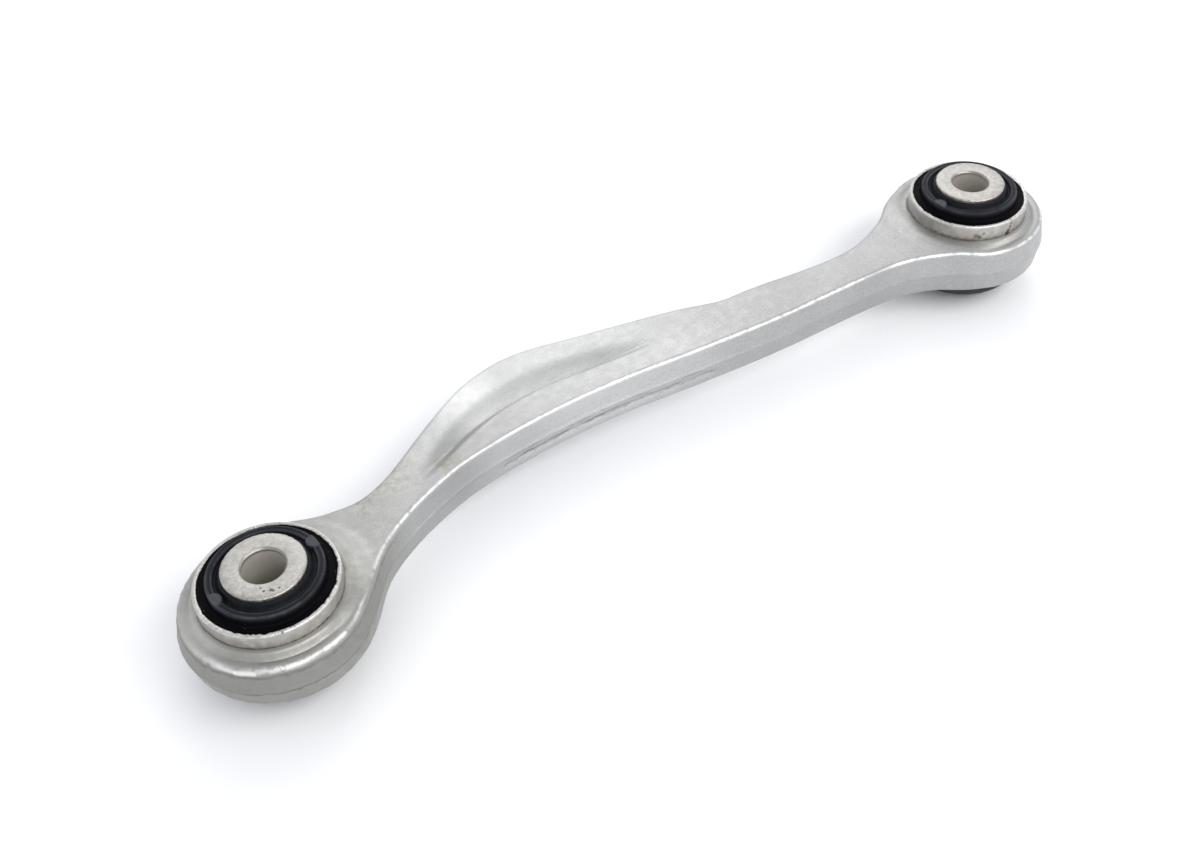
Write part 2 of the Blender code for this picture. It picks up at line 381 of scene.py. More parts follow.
def top_height(x, y):
    """Height of the forging's top over the parting plane."""
    height = np.full(x.shape, HALF_THICKNESS)
    for eye_x, inward, pad_top in zip(EYE_PLACES, (1, -1), PAD_TOPS):
        along = (x - eye_x) * inward
        radius = np.hypot(along, y)
        neck = np.clip(along / radius, 0, 1) ** 2
        foot = PAD_FOOT + PAD_NECK_REACH * neck
        height += (pad_top - HALF_THICKNESS) * (1 - step((radius - PAD_EDGE) / (foot - PAD_EDGE)))
        height -= PAD_GROOVE * (1 - neck) * (1 - step(abs(radius - foot) / PAD_GROOVE_REACH))
    _, wall, foot, rear, _ = plan_lines(x)
    slope = (rear - y) / (rear - foot)
    slope = (0.5 * (slope + np.sqrt(slope**2 + RIDGE_SOFTNESS**2))) ** SLOPE_POWER
    fall = step((y - wall) / (foot - wall))
    height -= POCKET_DEPTH * eased(POCKET_RUN, x) * fall * np.minimum(slope, SLOPE_LIMIT)
    return height + WAVE_HEIGHT * noise_at(x, y, 1.0, WAVE_SIZE)


def front_shelf(x, y):
    """1 on the flat strip between the pocket and the front edge, 0 elsewhere."""
    inset, fade = SHELF_FADE
    return eased(SHELF_RUN, x) * (1 - step((y - plan_lines(x)[1] + inset) / fade))


def eye_arc(eye_x, start, end):
    """Plan points round an eye's crease from one angle to the other, without both ends."""
    sweep = np.linspace(start, end, EYE_ARC_POINTS)[1:-1]
    return np.stack((np.cos(sweep), np.sin(sweep)), axis=1) * CREASE_RADIUS + (eye_x, 0)


def outline():
    """The forging's crease line, counterclockwise from above, with its outward normals."""
    turn = math.atan2(BACK[0], STATIONS[0])
    near = eye_arc(0.0, turn, 2 * math.pi - turn)
    turn = math.atan2(FRONT[-1], STATIONS[-1] - EYE_SPACING)
    far = eye_arc(EYE_SPACING, turn, -turn)
    front = np.stack((STATIONS, FRONT), axis=1)
    back = np.stack((STATIONS, BACK), axis=1)[::-1]
    loop = np.concatenate((front, far, back, near, front[:1]))
    length = np.concatenate(([0], np.cumsum(np.linalg.norm(np.diff(loop, axis=0), axis=1))))
    places = np.linspace(0, length[-1], round(length[-1] / OUTLINE_SPACING), endpoint=False)
    points = np.stack([np.interp(places, length, loop[:, i]) for i in (0, 1)], axis=1)
    along = np.roll(points, -2, axis=0) - np.roll(points, 2, axis=0)
    normals = np.stack((along[:, 1], -along[:, 0]), axis=1)
    return points, normals / np.linalg.norm(normals, axis=1)[:, None]


def wall_rows(points, normals):
    """Rows down the forging's side as (distance out from the crease line, height, abrasion with painted
    highlight).
    """
    draft = eased(DRAFT_RUN, points[:, 0])
    flash = eased(FLASH_RUN, points[:, 0])
    rounding = eased(ROUNDING_RUN, points[:, 0])
    inner = points - normals * rounding[:, None]
    top = top_height(inner[:, 0], inner[:, 1])
    rows = [(rounding * (math.sin(a) - 1), top + rounding * (math.cos(a) - 1), wear_and_highlight)
            for a, wear_and_highlight in zip(np.radians(EDGE_ANGLES), EDGE_WEAR_AND_HIGHLIGHT)]
    start = HALF_THICKNESS - rounding
    for share in SIDE_ROWS:
        height = start + (FLASH_HALF_WIDTH + FLASH_RISE - start) * share
        rows.append(((draft - FLASH_HEIGHT * flash) * (1 - height / start), height, 0.0))
    rows.append((draft, np.full(len(points), FLASH_HALF_WIDTH), FLASH_WEAR_AND_HIGHLIGHT * flash))
    return rows + [(out, -height, wear_and_highlight * UNDERSIDE_WEAR_AND_HIGHLIGHT) for out, height, wear_and_highlight in reversed(rows)]


def wall_rings(points, normals):
    """Rings of points down the forging's side, from the top rounding's inner edge to the underside's, and
    how much abrasion and painted highlight each ring has."""
    x, y = points.T
    rough = 1 + TRIM_UNEVENNESS * noise_at(x, y, 4.0, 5 * MM)
    trim = TRIM_DEPTH * eased(TRIM_RUN, x) * (normals[:, 1] < 0) * rough
    rows = wall_rows(points, normals)
    rings = []
    for out, height, wear_and_highlight in rows:
        groove = trim * (1 - step(abs(height - TRIM_LEVEL) / TRIM_REACH))
        dent = abs(noise_at(x, y, height, DENT_SIZE)) * eased(DENT_RUN, x)
        place = points + normals * (out - groove - dent)[:, None]
        rings.append(np.column_stack((place, height)))
    return rings, [wear_and_highlight for out, height, wear_and_highlight in rows]


def shank_grid():
    """Plan points over the shank, in rows that follow the pocket's edges."""
    points = []
    for x in SHANK_GRID_PLACES:
        front, wall, foot, rear, back = plan_lines(x)
        marks = [front, wall - 0.5 * MM, wall, foot, foot + 0.6 * MM, rear - 2 * MM, rear + 2 * MM, back]
        counts = [10, 2, 5, 2, 12, 6, 12]
        for low, high, count in zip(marks, marks[1:], counts):
            points += [(x, y) for y in np.linspace(low, high, count, endpoint=False)]
    return np.array(points)


def plan_circle(eye_x, radius, count):
    angle = np.linspace(0, 2 * math.pi, count, endpoint=False)
    return np.stack((eye_x + radius * np.cos(angle), radius * np.sin(angle)), axis=1)


def inside(points, loop):
    """Whether each plan point is inside the closed loop."""
    x, y = points[:, 0], points[:, 1]
    result = np.zeros(len(points), bool)
    for (x0, y0), (x1, y1) in zip(loop, np.roll(loop, -1, axis=0)):
        if y0 == y1:
            continue
        crosses = (y0 > y) != (y1 > y)
        result ^= crosses & (x < x0 + (y - y0) * (x1 - x0) / (y1 - y0))
    return result


def clear_of(points, others, gap):
    """The points that are at least that gap away from all the others."""
    keep = np.ones(len(points), bool)
    for other in others:
        keep &= np.hypot(points[:, 0] - other[0], points[:, 1] - other[1]) > gap
    return points[keep]


def fill_points(edge):
    """Plan points inside the edge: circles round the eyes, and rows over the shank between them."""
    circles = [plan_circle(eye_x, radius, EYE_GRID_POINTS)
               for eye_x in EYE_PLACES for radius in EYE_GRID_RADII]
    shank = shank_grid()
    for eye_x in EYE_PLACES:
        shank = shank[np.hypot(shank[:, 0] - eye_x, shank[:, 1]) > EYE_GRID_REACH]
    fill = np.concatenate(circles + [shank])
    return clear_of(fill[inside(fill, edge)], edge, RIM_CLEARANCE)


def face_plan(edge, bores):
    """Plan points and triangles of one face of the forging: the edge and bore loops come first."""
    edges = []
    start = 0
    for ring in [edge] + bores:
        count = len(ring)
        edges += [(start + i, start + (i + 1) % count) for i in range(count)]
        start += count
    plan = np.concatenate([edge] + bores + [fill_points(edge)])
    flat = [Vector(p) for p in (plan / MM)]
    found, _, triangles, *_ = delaunay_2d_cdt(flat, edges, [], 0, 1e-6, False)
    plan = np.array([tuple(p) for p in found]) * MM
    triangles = np.array(triangles)
    in_bore = ((triangles >= len(edge)) & (triangles < start)).all(axis=1)
    keep = inside(plan[triangles].mean(axis=1), edge) & ~in_bore
    return plan, triangles[keep]


class Shell:
    """The forging's top and underside, and the walls that join their loops."""

    def __init__(self, plan, triangles):
        top = top_height(plan[:, 0], plan[:, 1])
        self.count = len(plan)
        self.total = 2 * self.count
        self.vertices = [np.column_stack((plan, top)), np.column_stack((plan, -top))]
        self.faces = [tuple(t) for t in triangles.tolist()]
        self.faces += [(a + self.count, c + self.count, b + self.count) for a, b, c in triangles.tolist()]

    def bridge(self, first, second):
        """Add the faces between two closed rings of vertex numbers."""
        after = first[1:] + first[:1], second[1:] + second[:1]
        self.faces += list(zip(first, after[0], after[1], second))

    def wall(self, start, rings):
        """Join the loop that starts at that vertex to the same loop below, through the rings of points."""
        size = len(rings[0])
        previous = list(range(start, start + size))
        for ring in rings:
            current = list(range(self.total, self.total + size))
            self.bridge(previous, current)
            self.vertices.append(ring)
            self.total += size
            previous = current
        below = self.count + start
        self.bridge(previous, list(range(below, below + size)))


def rubbing_and_highlight(points, normals):
    """Abrasion and painted highlight at each point of the side: most where it faces the front, and broken
    up by noise.
    """
    patchy = step(0.75 + noise_at(points[:, 0], points[:, 1], 2.0, WAVE_SIZE))
    return step(0.4 - 1.6 * normals[:, 1]) * patchy


def make_forging(material):
    points, normals = outline()
    rings, wear_and_highlight = wall_rings(points, normals)
    bores = [plan_circle(eye_x, BORE_RADIUS + BORE_CHAMFER, BORE_POINTS) for eye_x in EYE_PLACES]
    plan, triangles = face_plan(rings[0][:, :2], bores)
    shell = Shell(plan, triangles)
    shell.wall(0, rings[1:-1])
    start = len(points)
    for eye_x, pad_top in zip(EYE_PLACES, PAD_TOPS):
        circle = plan_circle(eye_x, BORE_RADIUS, BORE_POINTS)
        heights = (pad_top - BORE_CHAMFER, BORE_CHAMFER - pad_top)
        shell.wall(start, [np.column_stack((circle, np.full(BORE_POINTS, height))) for height in heights])
        start += BORE_POINTS
    place = np.concatenate(shell.vertices) + np.array(CENTRE["inboard"])
    mesh = make_mesh("arm_forging_skin", place.tolist(), shell.faces)
    # Abrasion with painted highlight on the rounded edges, most on the sides that face the front
    rubbed_and_lit = rubbing_and_highlight(points, normals)
    store_mask(mesh, "worn_and_lit", np.concatenate([np.zeros(2 * len(plan))] + [rubbed_and_lit * w for w in wear_and_highlight[1:-1]]))
    # Painted shade: the flat strip in front of the pocket is marked here to be painted darker
    store_mask(mesh, "shaded_shelf", np.tile(front_shelf(plan[:, 0], plan[:, 1]), 2))
    obj = add_object("arm_forging_skin", mesh, material)
    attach(obj, "arm")
    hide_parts("arm_forging")


# ---------------------------------------------------------------- bushes

def scaled(corners, flip=1):
    return [(r * MM, z * MM * flip, cut * MM) for r, z, cut in corners]


def away_from(radius, angle, place, place_angle):
    """How far each point is in plan from the place."""
    x = radius * np.cos(angle) - place * math.cos(place_angle)
    return np.hypot(x, radius * np.sin(angle) - place * math.sin(place_angle))


def nub_share(radius, height, angle, nub_angle):
    """1 on the gate nub at that angle, falling to 0 round it."""
    away = away_from(radius, angle, NUB_PLACE, nub_angle)
    return (height > RUBBER_SHOWN) * step((NUB_RADIUS - away) / NUB_EDGE)


def make_rubber(end, material):
    def marks(radius, height, angle):
        shown = height > RUBBER_SHOWN
        for nub_angle in NUB_ANGLES[end]:
            lift = nub_share(radius, height, angle, nub_angle) * step((NUB_LIMIT - radius) / NUB_EDGE)
            height = height + lift * (NUB_TOP - height)
        away = away_from(radius, angle, PIT_PLACE, PIT_ANGLE[end])
        return radius, height - shown * PIT_DEPTH * (1 - step(away / PIT_RADIUS))

    for side, flip in (("upper", 1), ("lower", -1)):
        profile = dense(rounded(scaled(RUBBER_UPPER, flip)), 0.3 * MM, RUBBER_SHOWN)
        nubs = NUB_ANGLES[end] if side == "upper" else ()
        angles = around(RUBBER_POINTS, (*nubs, PIT_ANGLE[end]) if nubs else ())
        name = end + "_rubber_" + side
        mesh = turned(name, profile, CENTRE[end], angles, marks)
        paint_rubber(mesh, profile, angles, nubs)
        obj = add_object(name, mesh, material)
        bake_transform(obj)
        if side == "upper":
            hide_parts(end + "_rubber")


def paint_rubber(mesh, profile, angles, nubs):
    """Store each point's own radius, and how much it is on a nub's top, for the material to move with."""
    radius = np.repeat(profile[:, :1], len(angles), axis=1)
    nub = np.zeros(radius.shape)
    for nub_angle in nubs:
        nub = np.maximum(nub, nub_share(radius, profile[:, 1:], angles[None, :], nub_angle))
    store_mask(mesh, "radius", radius.ravel())
    store_mask(mesh, "nub", nub.ravel())


def make_outer_sleeve(end, material, seed):
    half = RING_HALF / MM
    radius = RING_RADIUS / MM
    bore = RING_BORE / MM
    corners = [
        (bore, half, 0.35), (radius - 0.35, half, 0.2), (radius, half - 0.45, 0.2),
        (radius, -half + 0.45, 0.2), (radius - 0.35, -half, 0.2), (bore, -half, 0.35),
    ]

    def burr(r, z, angle):
        near_end = step((abs(z) - RING_HALF + 1.2 * MM) / (0.6 * MM))
        edge = step((RING_RADIUS - 0.5 * MM - r) / (0.5 * MM)) * near_end
        x, y = RING_RADIUS * np.cos(angle), RING_RADIUS * np.sin(angle)
        rough = noise_at(x, y, z * 0.2 + seed, 0.8 * MM) + 0.8 * noise_at(x, y, z * 0.2 + seed, 5 * MM)
        above_pad = step((abs(z) - EYE_HALF_HEIGHT + 0.5 * MM) / MM)
        dents = noise_at(x, y, z + seed, 2.5 * MM) * RING_DENT * above_pad
        return r + edge * rough * BURR_DEPTH - abs(dents), z - edge * abs(rough) * BURR_DROP

    profile = dense(rounded(scaled(corners)), 1.5 * MM)
    name = end + "_outer_sleeve_skin"
    obj = add_object(name, turned(name, profile, CENTRE[end], around(RING_POINTS), burr), material)
    cut(obj, seam(CENTRE[end], SEAM_ANGLE[end]))
    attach(obj, "arm")
    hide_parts(end + "_outer_sleeve")


def seam(centre, angle):
    """The butt joint where the sleeve was rolled, as a thin blade through its wall."""
    shape = bmesh.new()
    bmesh.ops.create_cube(shape, size=1.0)
    bmesh.ops.scale(shape, verts=shape.verts, vec=(3 * MM, SEAM_WIDTH, 3 * RING_HALF))
    bmesh.ops.translate(shape, verts=shape.verts, vec=(RING_RADIUS - 0.6 * MM, 0, 0))
    bmesh.ops.rotate(shape, verts=shape.verts, matrix=Matrix.Rotation(angle, 3, "Z"))
    bmesh.ops.translate(shape, verts=shape.verts, vec=centre)
    mesh = bpy.data.meshes.new("seam")
    shape.to_mesh(mesh)
    shape.free()
    return mesh


def make_inner_sleeve(end, material, seed):
    half, radius, bore = INNER_HALF / MM, INNER_RADIUS / MM, BOLT_BORE / MM
    corners = [
        (radius - 0.35, half, 0.15), (radius, half - 0.35, 0.15), (radius, -half + 0.35, 0.15),
        (radius - 0.35, -half, 0.15), (bore + 0.55, -half, 0.1), (bore, -half + 0.55, 0.1),
        (bore, half - 0.55, 0.1), (bore + 0.55, half, 0.1),
    ]

    def nicks(r, z, angle):
        near_end = step((abs(z) - INNER_HALF + 0.7 * MM) / (0.4 * MM))
        edge = step((r - INNER_RADIUS + 0.6 * MM) / (0.4 * MM)) * near_end
        x, y = INNER_RADIUS * np.cos(angle), INNER_RADIUS * np.sin(angle)
        rough = abs(noise_at(x, y, z * 0.3 + seed, 1.6 * MM)) + 0.5 * abs(noise_at(x, y, seed, 0.7 * MM))
        return r - edge * rough * NICK_DEPTH, z

    profile = dense(rounded(scaled(corners), steps=4), 4 * MM)
    name = end + "_inner_sleeve_skin"
    obj = add_object(name, turned(name, profile, CENTRE[end], around(INNER_POINTS), nicks), material)
    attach(obj, end + "_inner_sleeve")
    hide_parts(end + "_inner_sleeve")


# ---------------------------------------------------------------- finishes

# Each finish starts from its "base" tone, and its layers are (share, tone) in linear RGB
# Several layers below are painted light and painted shade, as said where they are painted
ARM_TONES = {
    "base": (0.39, 0.39, 0.385),
    "lit middle": (1.0, (0.52, 0.52, 0.52)),
    "cloud": (0.15, (0.72, 0.72, 0.72)),
    "mottle": (0.15, (0.72, 0.72, 0.71)),
    "grain crest": (0.12, (0.85, 0.85, 0.84)),
    "grain pore": (0.14, (0.20, 0.20, 0.20)),
    "shaded_shelf": (0.75, (0.36, 0.36, 0.36)),
    "grime and shade": (0.85, (0.355, 0.35, 0.325)),
    "shaded eye side": (0.85, (0.25, 0.247, 0.232)),
    "streak": (0.25, (0.34, 0.34, 0.33)),
    "pad dirt and shade": (0.22, (0.27, 0.265, 0.23)),
    "pad base dirt and shade": (0.27, (0.22, 0.215, 0.185)),
    "corner shade": (0.3, (0.27, 0.25, 0.21)),
    "concave shade": (0.15, (0.30, 0.29, 0.26)),
    "shade under crease": (0.5, (0.13, 0.125, 0.11)),
    "shadow under parting step": (0.65, (0.13, 0.125, 0.11)),
    "groove shade and dirt": (0.65, (0.15, 0.145, 0.13)),
    "parting shadow": (0.4, (0.15, 0.145, 0.13)),
    "stain": (0.6, (0.27, 0.24, 0.15)),
    "abraded and lit edge": (0.8, (0.95, 0.95, 0.94)),
    "lit shoulder": (0.7, (0.52, 0.515, 0.49)),
    "pocket end shade": (0.6, (0.30, 0.30, 0.295)),
    "middle shade": (0.28, (0.30, 0.298, 0.29)),
    "lit flange": (0.5, (0.78, 0.78, 0.77)),
    "matt shaded patch": (0.6, (0.28, 0.278, 0.265)),
}
# Some ring layers are painted highlight and painted shade, as said where they are painted
RING_TONES = {
    "base": (0.44, 0.43, 0.41),
    "mottle": (1.0, (0.58, 0.57, 0.55)),
    "wall tint": (0.55, (0.44, 0.39, 0.33)),
    "streak": (0.5, (0.26, 0.25, 0.23)),
    "cut end abrasion and highlight": (1.0, (0.74, 0.73, 0.71)),
    "corner shade": (0.55, (0.26, 0.24, 0.20)),
    "underside": (0.95, (0.03, 0.032, 0.036)),
    "ring foot dirt and shade": (0.75, (0.15, 0.135, 0.11)),
    "mark": (1.0, (0.10, 0.075, 0.04)),
}
# The bore's layers are painted shade and painted light, as said where they are painted
FACE_TONES = {
    "base": (0.395, 0.38, 0.35),
    "mottle": (1.0, (0.56, 0.55, 0.53)),
    "tint": (0.4, (0.52, 0.47, 0.40)),
    "rim tint": (0.5, (0.40, 0.34, 0.26)),
    "speck": (0.7, (0.20, 0.18, 0.155)),
    "pit": (0.85, (0.10, 0.09, 0.075)),
    "bore edge shade": (0.6, (0.26, 0.25, 0.23)),
    "bore": (1.0, (0.47, 0.445, 0.40)),
    "side": (0.8, (0.06, 0.055, 0.05)),
}
# Some rubber layers are painted sheen, highlight and shade, as said where they are painted
RUBBER_TONES = {
    "base": (0.004, 0.0045, 0.006),
    "cloud": (1.0, (0.009, 0.010, 0.013)),
    "bead": (1.0, (0.0085, 0.0095, 0.014)),
    "bead edge highlights": (1.0, (0.042, 0.046, 0.057)),
    "nub": (1.0, (0.062, 0.066, 0.076)),
    "recess_shade": (1.0, (0.0025, 0.0025, 0.003)),
    "dust": (0.5, (0.22, 0.22, 0.23)),
}
FLOOR_TONES = {"base": (0.93, 0.935, 0.95), "cloud": (1.0, (0.945, 0.95, 0.965))}

# Round zones of tone on the arm, in mm: (x, y, z, reach, share of the reach that is soft)
ZONES = {
    "lit middle": (112, 24, 8, 80, 0.8),
    "eye": (0, 0, 0, 48, 0.5),
    "grime and shade": (-6, -6, 0, 64, 0.7),
    "lit shoulder": (-25, 0, 7.5, 16, 0.8),
    "pocket end shade": (62, 15, 6, 24, 0.8),
    "middle shade": (84, 6, 3, 30, 0.9),
    "lit flange": (84, 37, 8, 18, 0.8),
    "matt shaded patch": (17, -23, 7, 17, 0.8),
    "shank middle": (124, 9, -3, 44, 0.2),
    "outboard foot": (265, -16, 10, 15, 0.5),
}

# Marks, in mm and degrees. Lines of painted shade, one with dirt, round the eye and along the shank are
# (level, half width), stains (x, y, reach), scratches and painted highlights (start, end, width, tone),
# marks on a ring (end, angle, level, reach, share), and pits in the inboard sleeve's face (angle, radius,
# reach)
# Painted shade under the eye's crease, and painted shadow under its parting step
EYE_LINES = {"shade under crease": (5.5, 0.7), "shadow under parting step": (-0.8, 0.6)}
# Painted shade with dirt in the groove, and painted shadow under the parting line
SHANK_LINES = {"groove shade and dirt": (-3.3, 1.1), "parting shadow": (-0.9, 0.5)}
STAINS = [(49, 19, 13), (37, 13.5, 9), (65, 12.5, 8)]
SCRATCHES_AND_HIGHLIGHTS = [
    ((61.7, 9.5, 6.0), (66.1, 9.1, 6.0), 0.35, 0.22),
    ((24.9, 4.2, 8.4), (27.0, 3.8, 8.4), 0.3, 0.95),
    # The last two are a painted highlight along the inboard eye's crease
    ((-22.6, -12.4, 6.8), (-20.4, -17.1, 6.8), 0.8, 0.8),
    ((-20.4, -17.1, 6.8), (-16.6, -20.9, 6.9), 1.1, 0.97),
]
SCRATCH_AND_HIGHLIGHT_SHARE = 0.75
RING_MARKS = [
    ("outboard", -95.5, 10.0, 1.3, 1.0), ("outboard", -94.5, 11.1, 0.9, 0.9),
    ("outboard", -93, 12.4, 0.65, 0.8), ("outboard", -92, 13.7, 0.6, 0.8),
    ("outboard", -129, 11.3, 1.3, 0.6), ("outboard", -125.5, 10.8, 1.0, 0.7),
    ("outboard", -122, 12.2, 0.8, 0.5), ("inboard", -106, 15.0, 0.7, 0.8),
]
FACE_PITS = [(-116, 9.2, 0.55), (-104, 9.4, 0.75), (-101, 9.9, 0.5), (-91, 9.8, 0.5), (-122, 8.0, 0.4)]


def on_arm(x, y, z):
    """The place on the arm that is that many mm from the inboard eye's centre and mid-plane."""
    return CENTRE["inboard"] + Vector((x, y, z)) * MM


def on_bush(end, angle, radius, height):
    """The place at that angle in degrees, and that radius and height in metres, on a bush."""
    turn = math.radians(angle)
    return CENTRE[end] + Vector((radius * math.cos(turn), radius * math.sin(turn), height))


class Finish:
    """Builds one material's nodes round its Principled shader. Values may be numbers, colours or sockets."""

    def __init__(self, name, tones):
        self.material = bpy.data.materials.new(name)
        self.material.use_nodes = True
        self.tree = self.material.node_tree
        self.shader = self.tree.nodes["Principled BSDF"]
        self.place = self.tree.nodes.new("ShaderNodeTexCoord").outputs["Object"]
        self.tones = tones
        self.colour = tones["base"]

    def feed(self, socket, value):
        if isinstance(value, bpy.types.NodeSocket):
            self.tree.links.new(value, socket)
        elif isinstance(value, (tuple, list, Vector)) and socket.type == "RGBA":
            socket.default_value = (*value, 1.0)
        else:
            socket.default_value = value

    def node(self, kind, inputs=(), **settings):
        node = self.tree.nodes.new(kind)
        for name, value in settings.items():
            setattr(node, name, value)
        for name, value in dict(inputs).items():
            self.feed(node.inputs[name], value)
        return node

    def math(self, operation, first, second=0.0):
        return self.node("ShaderNodeMath", {0: first, 1: second}, operation=operation).outputs[0]

    def times(self, first, second):
        return self.math("MULTIPLY", first, second)

    def vector(self, operation, first, second, output=0):
        return self.node("ShaderNodeVectorMath", {0: first, 1: second}, operation=operation).outputs[output]

    def noise(self, size, detail=3.0, rough=0.55, place=None):
        """Noise about 0.5 with features of that size in metres."""
        inputs = {"Vector": place or self.place, "Scale": 1 / size, "Detail": detail, "Roughness": rough}
        return self.node("ShaderNodeTexNoise", inputs).outputs["Fac"]

    def ramp(self, value, low, high, out_low=0.0, out_high=1.0):
        inputs = {"Value": value, "From Min": low, "From Max": high, "To Min": out_low, "To Max": out_high}
        return self.node("ShaderNodeMapRange", inputs, interpolation_type="SMOOTHSTEP").outputs["Result"]

    def band(self, value, middle, half):
        """1 where the value is at the middle, falling to 0 at half the band's width on each side."""
        away = self.math("ABSOLUTE", self.math("SUBTRACT", value, middle))
        return self.ramp(away, half * 0.3, half, 1.0, 0.0)

    def near(self, point, reach, soft=1.0):
        """1 at the point, falling to 0 at the reach."""
        away = self.vector("DISTANCE", self.place, point, "Value")
        return self.ramp(away, reach * (1 - soft), reach, 1.0, 0.0)

    def zone(self, name):
        """1 in the middle of a zone of the arm, falling to 0 at its reach."""
        x, y, z, reach, soft = ZONES[name]
        return self.near(on_arm(x, y, z), reach * MM, soft)

    def stretched(self, x, y):
        """Object coordinates squeezed along X and Y, which draws noise out that way."""
        return self.vector("MULTIPLY", self.place, (x, y, 1))

    def scratch(self, start, end, width):
        """1 on the straight line from start to end, falling to 0 at that width on each side."""
        run = end - start
        gone = self.vector("SUBTRACT", self.place, start)
        share = self.vector("DOT_PRODUCT", gone, run / run.length_squared, "Value")
        share = self.node("ShaderNodeClamp", {"Value": share}).outputs[0]
        nearest = self.node("ShaderNodeVectorMath", {0: run, "Scale": share}, operation="SCALE").outputs[0]
        away = self.vector("DISTANCE", gone, nearest, "Value")
        return self.ramp(away, width * 0.3, width, 1.0, 0.0)

    def axis(self, name):
        return self.node("ShaderNodeSeparateXYZ", {0: self.place}).outputs[name]

    def level(self):
        """Height over the mid-plane."""
        return self.math("SUBTRACT", self.axis("Z"), CENTRE["inboard"].z)

    def from_axis(self):
        """Distance in plan from the nearer bush's axis."""
        flat = self.vector("MULTIPLY", self.place, (1, 1, 0))
        away = [self.vector("DISTANCE", flat, (c.x, c.y, 0), "Value") for c in CENTRE.values()]
        return self.math("MINIMUM", *away)

    def openness(self, reach):
        """How open the surface is within the reach: 1 in the open, 0 where it is shut in."""
        return self.node("ShaderNodeAmbientOcclusion", {"Distance": reach}, samples=8).outputs["AO"]

    def attribute(self, name):
        return self.node("ShaderNodeAttribute", attribute_name=name).outputs["Fac"]

    def bump(self, height, distance, strength=1.0, normal=None):
        inputs = {"Height": height, "Distance": distance, "Strength": strength}
        if normal:
            inputs["Normal"] = normal
        return self.node("ShaderNodeBump", inputs).outputs["Normal"]

    def blend(self, share, tone):
        """Mix that share of the tone into the colour so far."""
        node = self.node("ShaderNodeMix", data_type="RGBA")
        self.feed(node.inputs[0], share)
        self.feed(node.inputs[6], self.colour)
        self.feed(node.inputs[7], tone)
        self.colour = node.outputs[2]

    def paint(self, name, mask):
        """Add the named layer of colour where the mask is."""
        share, tone = self.tones[name]
        self.blend(self.times(mask, share), tone)

    def finish(self, **sockets):
        for name, value in sockets.items():
            self.feed(self.shader.inputs[name.replace("_", " ")], value)
        self.feed(self.shader.inputs["Base Color"], self.colour)
        return self.material


def paint_bare_metal_and_light(f, mottle, grain):
    f.paint("lit middle", f.zone("lit middle"))
    f.paint("cloud", f.ramp(f.noise(22 * MM, 4), 0.35, 0.7))
    f.paint("mottle", f.ramp(mottle, 0.5, 0.75))
    f.paint("grain crest", f.ramp(grain, 0.42, 0.62))
    f.paint("grain pore", f.ramp(grain, 0.5, 0.38))
    # Painted shade: the flat strip in front of the pocket, darker than the back of the arm
    f.paint("shaded_shelf", f.attribute("shaded_shelf"))


def paint_dirt_and_shade(f, level, mottle, patch, streak):
    """Dirt with painted shade on and round the inboard eye, painted shade on its side, streaks, dirt with
    painted shade on both pads, and painted shade in the corners.
    """
    radius = f.from_axis()
    dirt = f.ramp(patch, 0.3, 0.6, 0.4, 1.0)
    # Dirt with painted shade: darker and warmer round the inboard eye, fading along the arm
    f.paint("grime and shade", f.times(f.zone("grime and shade"), f.ramp(mottle, 0.35, 0.65, 0.6, 1.0)))
    # Painted shade: the inboard eye's side darker, less so below the parting line
    side = f.times(f.zone("eye"), f.ramp(level, 6.9 * MM, 6.1 * MM))
    f.paint("shaded eye side", f.times(side, f.ramp(level, -1.6 * MM, -0.9 * MM, 0.55, 1.0)))
    f.paint("streak", f.ramp(streak, 0.5, 0.72))
    # Dirt with painted shade on the pads round the bores, most at the foot of their slope
    f.paint("pad dirt and shade", f.times(f.ramp(radius, 25.5 * MM, 21.5 * MM), dirt))
    f.paint("pad base dirt and shade", f.times(f.band(radius, 23.1 * MM, 1.3 * MM), dirt))
    # Painted shade in shut-in corners, tinted brown
    shut = f.ramp(f.openness(2.5 * MM), 0.75, 0.25)
    f.paint("corner shade", f.times(shut, f.ramp(radius, 30 * MM, 27 * MM)))
    # Painted shade in concave creases
    pointiness = f.node("ShaderNodeNewGeometry").outputs["Pointiness"]
    f.paint("concave shade", f.ramp(pointiness, 0.49, 0.46))


def paint_lines(f, level, patch, streak):
    """Dark lines of painted shade round the inboard eye and along the middle of the shank's sides, and dirt
    in the groove along the shank.
    """
    # Painted shade: a dark band under the inboard eye's crease, and a painted shadow under its parting step
    for name, (middle, half) in EYE_LINES.items():
        broken = f.times(f.zone("eye"), f.ramp(patch, 0.3, 0.6, 0.35, 1.0))
        f.paint(name, f.times(f.band(level, middle * MM, half * MM), broken))
    # Painted shade along the shank's middle: in the groove from the trimming, with dirt specks, and a
    # painted shadow under the parting line
    for name, (middle, half) in SHANK_LINES.items():
        line = f.times(f.band(level, middle * MM, half * MM), f.zone("shank middle"))
        f.paint(name, f.times(line, f.ramp(streak, 0.46, 0.6, 0.15, 1.0)))


